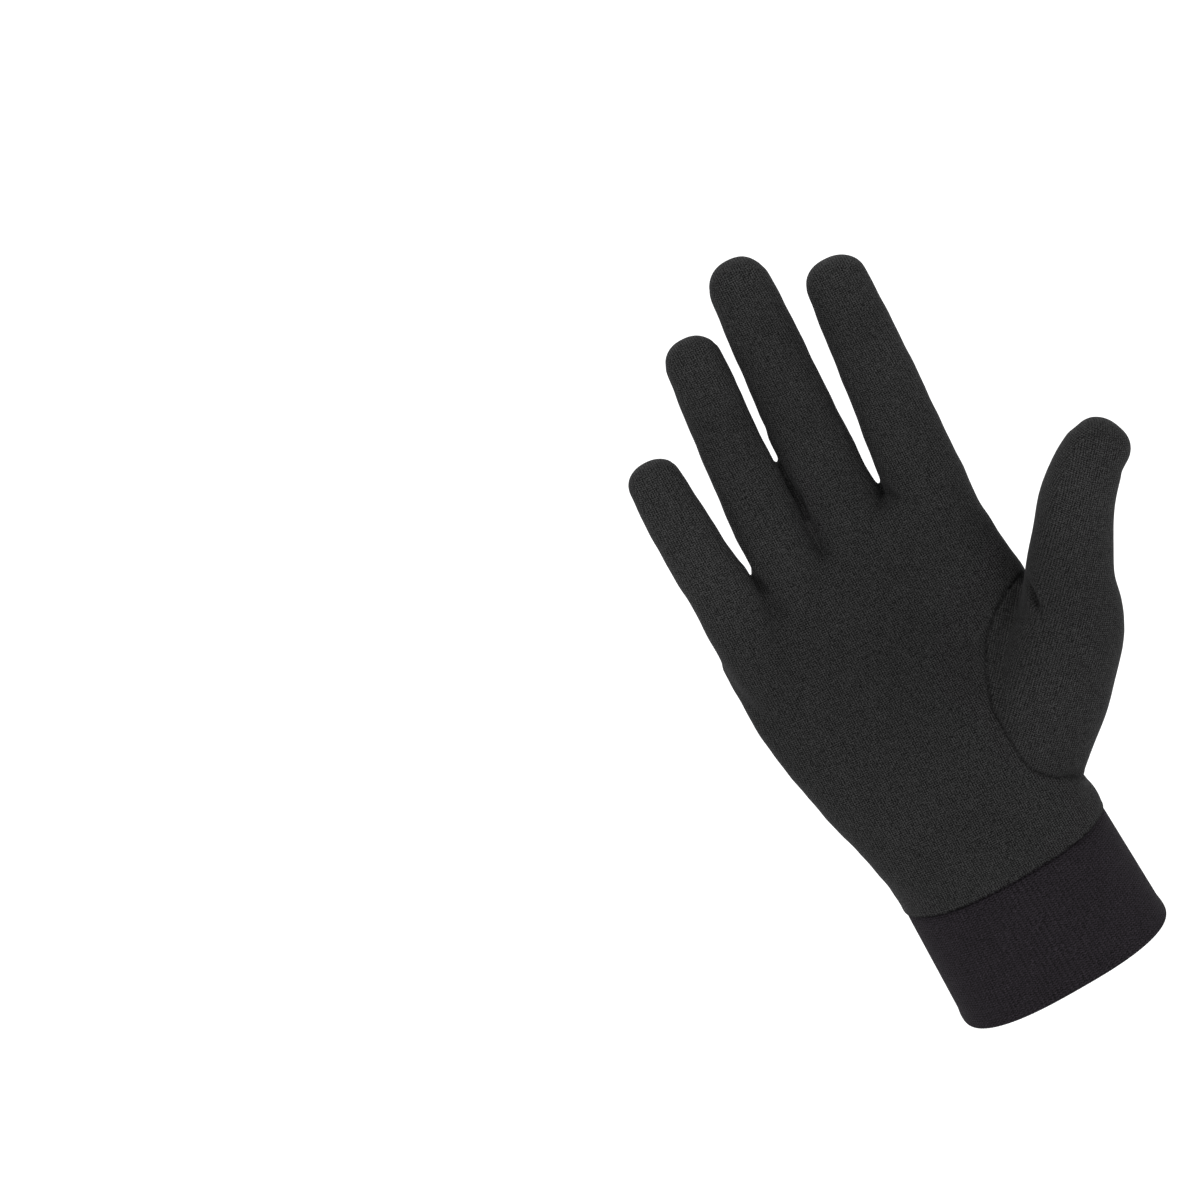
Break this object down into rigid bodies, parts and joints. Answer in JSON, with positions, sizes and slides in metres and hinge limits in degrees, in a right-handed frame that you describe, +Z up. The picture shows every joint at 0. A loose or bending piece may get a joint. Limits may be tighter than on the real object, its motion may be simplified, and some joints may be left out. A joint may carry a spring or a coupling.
{
  "type": "glove liner",
  "caption": "Knitted glove liner for the right hand, filled out as worn, with a ribbed cuff, a set-in thumb and gussets between the fingers.",
  "frame": {"origin": "middle of the wrist opening, in the plane of the hem of the cuff", "axes": "+Z up the cuff towards the fingers, the palm faces -Y and the back of the hand +Y, the thumb is on the +X side"},
  "size_m": [0.1371, 0.0615, 0.2344],
  "materials": {
    "jersey": "matte fine jersey knit, near black",
    "rib": "matte one by one rib knit, near black"
  },
  "bodies": {
    "root": {"cuff": "rib", "hand": "jersey", "thumb": "jersey", "fourchette_index_middle": "jersey", "fourchette_middle_ring": "jersey", "fourchette_ring_little": "jersey"}
  },
  "joints": []
}
